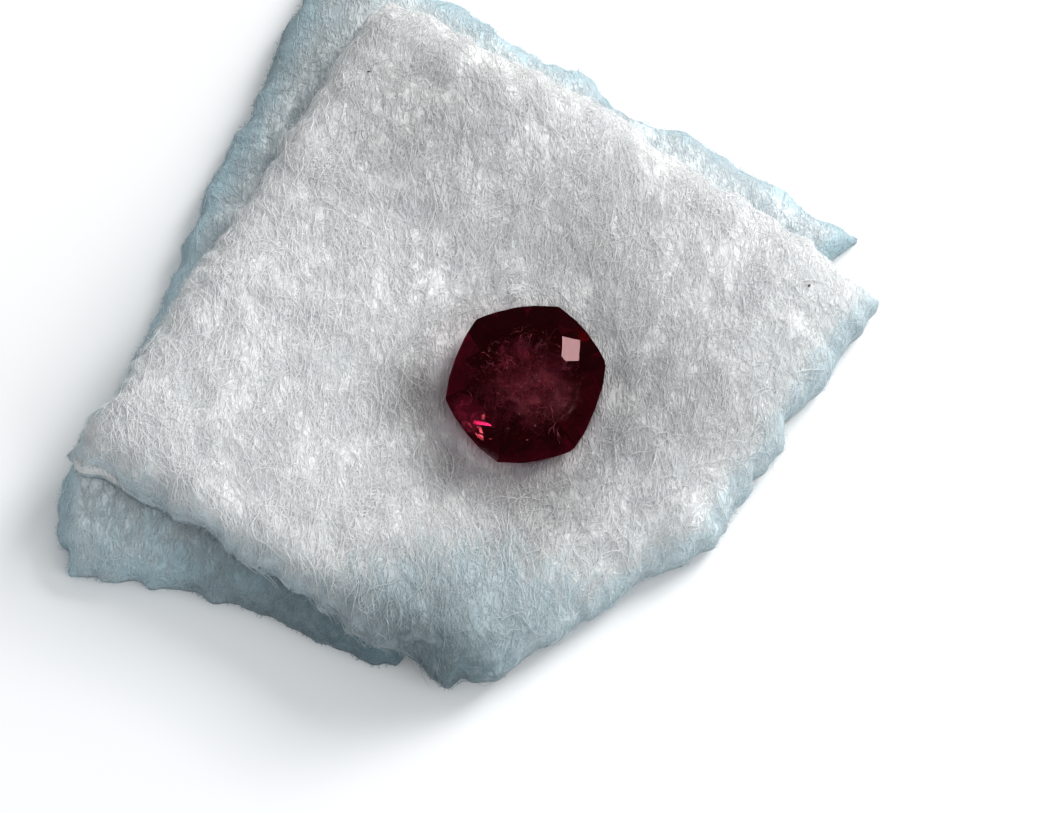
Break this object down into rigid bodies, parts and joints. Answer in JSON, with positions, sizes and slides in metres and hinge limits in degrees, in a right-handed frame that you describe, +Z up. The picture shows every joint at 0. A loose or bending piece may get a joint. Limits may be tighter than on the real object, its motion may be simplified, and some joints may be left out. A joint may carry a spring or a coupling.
{
  "type": "faceted red beryl on a cotton pad",
  "caption": "Small hand-cut hexagonal red beryl gemstone with bowed sides, resting table-up in a hollow pressed into a pad of fluffy white cotton wadding.",
  "frame": {"origin": "on the floor under the middle of the pad's bounding box", "axes": "+Z up, -Y towards the front that the stone's table leans to, +X to the right seen from the front"},
  "size_m": [0.0296, 0.0286, 0.0054],
  "materials": {
    "red_beryl": "polished facets, clear to hazy dark raspberry red",
    "upper_cotton": "matt fluffy white cotton wadding",
    "lower_cotton": "matt fluffy white cotton wadding"
  },
  "bodies": {
    "root": {"red_beryl": "red_beryl", "upper_cotton_sheet": "upper_cotton", "lower_cotton_sheet": "lower_cotton"}
  },
  "joints": []
}
